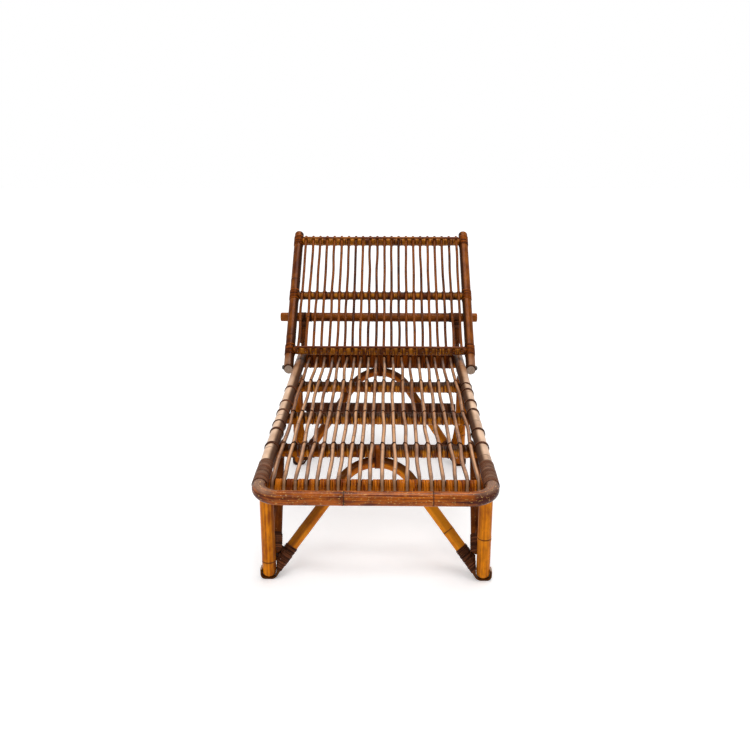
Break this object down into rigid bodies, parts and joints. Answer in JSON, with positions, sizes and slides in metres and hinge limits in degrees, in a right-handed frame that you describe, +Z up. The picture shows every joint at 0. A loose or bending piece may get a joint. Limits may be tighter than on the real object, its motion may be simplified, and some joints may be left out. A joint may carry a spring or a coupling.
{
  "type": "rattan chaise longue",
  "caption": "Low slatted cane chaise longue on pole legs with arched braces, its slatted back pivoting on bolts and leaning on a swinging prop bar.",
  "frame": {"origin": "on the floor under the middle of the overall outline", "axes": "+X to the right seen from the foot end, +Y from the foot end towards the head end, +Z up"},
  "size_m": [0.745, 1.5172, 0.782],
  "materials": {
    "rattan_pole": "clear glossy varnish over amber to red-brown cane",
    "rattan_slat": "satin varnish over tan cane",
    "rattan_peel": "satin dark brown peel strip",
    "bolt_steel": "blackened steel"
  },
  "bodies": {
    "seat_frame": {"corner_winding_left": "rattan_peel", "corner_winding_right": "rattan_peel", "front_apex_lashing": "rattan_peel", "front_arch": "rattan_pole", "front_brace_left": "rattan_pole", "front_brace_right": "rattan_pole", "front_foot_lashing_left": "rattan_peel", "front_foot_lashing_right": "rattan_peel", "front_leg_left": "rattan_pole", "front_leg_right": "rattan_pole", "front_rail": "rattan_pole", "pivot_bolt_left": "bolt_steel", "pivot_bolt_right": "bolt_steel", "prop_pin_left": "bolt_steel", "prop_pin_right": "bolt_steel", "rear_apex_lashing": "rattan_peel", "rear_arch": "rattan_pole", "rear_brace_left": "rattan_pole", "rear_brace_right": "rattan_pole", "rear_foot_lashing_left": "rattan_peel", "rear_foot_lashing_right": "rattan_peel", "rear_leg_left": "rattan_pole", "rear_leg_right": "rattan_pole", "rear_stretcher": "rattan_pole", "seat_crossbar_1": "rattan_pole", "seat_crossbar_2": "rattan_pole", "seat_crossbar_3": "rattan_pole", "seat_crossbar_4": "rattan_pole", "seat_crossbar_5": "rattan_pole", "seat_slat_01": "rattan_slat", "seat_slat_02": "rattan_slat", "seat_slat_03": "rattan_slat", "seat_slat_04": "rattan_slat", "seat_slat_05": "rattan_slat", "seat_slat_06": "rattan_slat", "seat_slat_07": "rattan_slat", "seat_slat_08": "rattan_slat", "seat_slat_09": "rattan_slat", "seat_slat_10": "rattan_slat", "seat_slat_11": "rattan_slat", "seat_slat_12": "rattan_slat", "seat_slat_13": "rattan_slat", "seat_slat_14": "rattan_slat", "seat_slat_15": "rattan_slat", "seat_slat_16": "rattan_slat", "seat_slat_17": "rattan_slat", "seat_slat_18": "rattan_slat", "seat_slat_19": "rattan_slat", "side_rail_left": "rattan_pole", "side_rail_right": "rattan_pole"},
    "backrest": {"back_lower_bar": "rattan_pole", "back_post_left": "rattan_pole", "back_post_right": "rattan_pole", "back_slat_panel": "rattan_slat", "back_top_bar": "rattan_pole"},
    "prop": {"prop_bar": "rattan_pole", "prop_strut_left": "rattan_pole", "prop_strut_right": "rattan_pole"}
  },
  "joints": [
    {"name": "back_recline", "type": "hinge", "parent": "seat_frame", "child": "backrest", "pos_m": [0, 0.26878, 0.35322], "axis": [1, 0, 0], "range_deg": [-12, 25]},
    {"name": "prop_swing", "type": "hinge", "parent": "seat_frame", "child": "prop", "pos_m": [0, 0.44367, 0.35933], "axis": [1, 0, 0], "range_deg": [-27, 56]}
  ],
  "couplings": [
    {"joint": "prop_swing", "follows": "back_recline", "ratio": 2.2}
  ]
}
